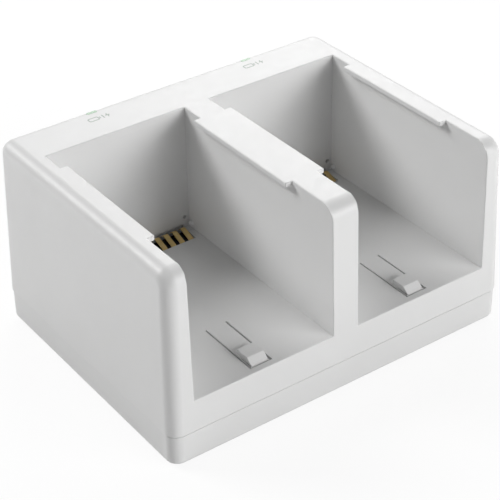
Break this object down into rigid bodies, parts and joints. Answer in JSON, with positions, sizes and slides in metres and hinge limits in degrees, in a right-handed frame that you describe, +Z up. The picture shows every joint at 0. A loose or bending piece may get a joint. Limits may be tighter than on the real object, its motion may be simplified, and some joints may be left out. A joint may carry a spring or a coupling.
{
  "type": "battery charger",
  "caption": "Two-bay charging station for slide-in battery packs: open bays with retaining lips, sprung latch tongues, leaf contacts, status lights and a rear power inlet.",
  "frame": {"origin": "on the table, under the middle of the station's outline", "axes": "+X right along the open front, +Y to the back with the power inlet, +Z up"},
  "size_m": [0.0956, 0.0732, 0.0505],
  "materials": {
    "housing_plastic": "fine satin moulding",
    "base_plastic": "fine satin moulding, a shade greyer",
    "board_laminate": "green solder mask",
    "holder_plastic": "black moulding",
    "contact_gold": "gold-plated strip",
    "light_plastic": "clear, slightly green moulding",
    "lamp_body": "cream lamp body",
    "chip_plastic": "dark moulded package",
    "ferrite": "grey ferrite",
    "can_aluminium": "drawn can",
    "inlet_steel": "stamped, tin-plated",
    "screw_steel": "zinc-plated",
    "foot_rubber": "matte soft rubber"
  },
  "bodies": {
    "station": {"upper_housing": "housing_plastic", "base_cover": "base_plastic", "circuit_board": "board_laminate", "left_contact_holder": "holder_plastic", "right_contact_holder": "holder_plastic", "left_light_pipe": "light_plastic", "right_light_pipe": "light_plastic", "left_status_lamp": "lamp_body", "right_status_lamp": "lamp_body", "left_charge_controller": "chip_plastic", "right_charge_controller": "chip_plastic", "left_power_coil": "ferrite", "right_power_coil": "ferrite", "left_capacitor": "can_aluminium", "right_capacitor": "can_aluminium", "inlet_shell": "inlet_steel", "inlet_tongue": "holder_plastic", "housing_screw_1": "screw_steel", "housing_screw_2": "screw_steel", "housing_screw_3": "screw_steel", "housing_screw_4": "screw_steel", "board_screw_1": "screw_steel", "board_screw_2": "screw_steel", "board_screw_3": "screw_steel", "foot_1": "foot_rubber", "foot_2": "foot_rubber", "foot_3": "foot_rubber", "foot_4": "foot_rubber"},
    "left_latch": {"left_latch_tongue": "housing_plastic"},
    "right_latch": {"right_latch_tongue": "housing_plastic"},
    "left_contacts": {"left_contact_1": "contact_gold", "left_contact_2": "contact_gold", "left_contact_3": "contact_gold", "left_contact_4": "contact_gold", "left_contact_5": "contact_gold"},
    "right_contacts": {"right_contact_1": "contact_gold", "right_contact_2": "contact_gold", "right_contact_3": "contact_gold", "right_contact_4": "contact_gold", "right_contact_5": "contact_gold"}
  },
  "joints": [
    {"name": "left_latch_flex", "type": "hinge", "parent": "station", "child": "left_latch", "pos_m": [-0.02252, -0.017, 0.0162], "axis": [1, 0, 0], "range_deg": [0, 5], "stiffness_Nm_per_rad": 0.8},
    {"name": "right_latch_flex", "type": "hinge", "parent": "station", "child": "right_latch", "pos_m": [0.02252, -0.017, 0.0162], "axis": [1, 0, 0], "range_deg": [0, 5], "stiffness_Nm_per_rad": 0.8},
    {"name": "left_contact_flex", "type": "hinge", "parent": "station", "child": "left_contacts", "pos_m": [-0.01168, 0.01645, 0.01665], "axis": [-1, 0, 0], "range_deg": [0, 12], "stiffness_Nm_per_rad": 0.1},
    {"name": "right_contact_flex", "type": "hinge", "parent": "station", "child": "right_contacts", "pos_m": [0.03337, 0.01645, 0.01665], "axis": [-1, 0, 0], "range_deg": [0, 12], "stiffness_Nm_per_rad": 0.1}
  ]
}
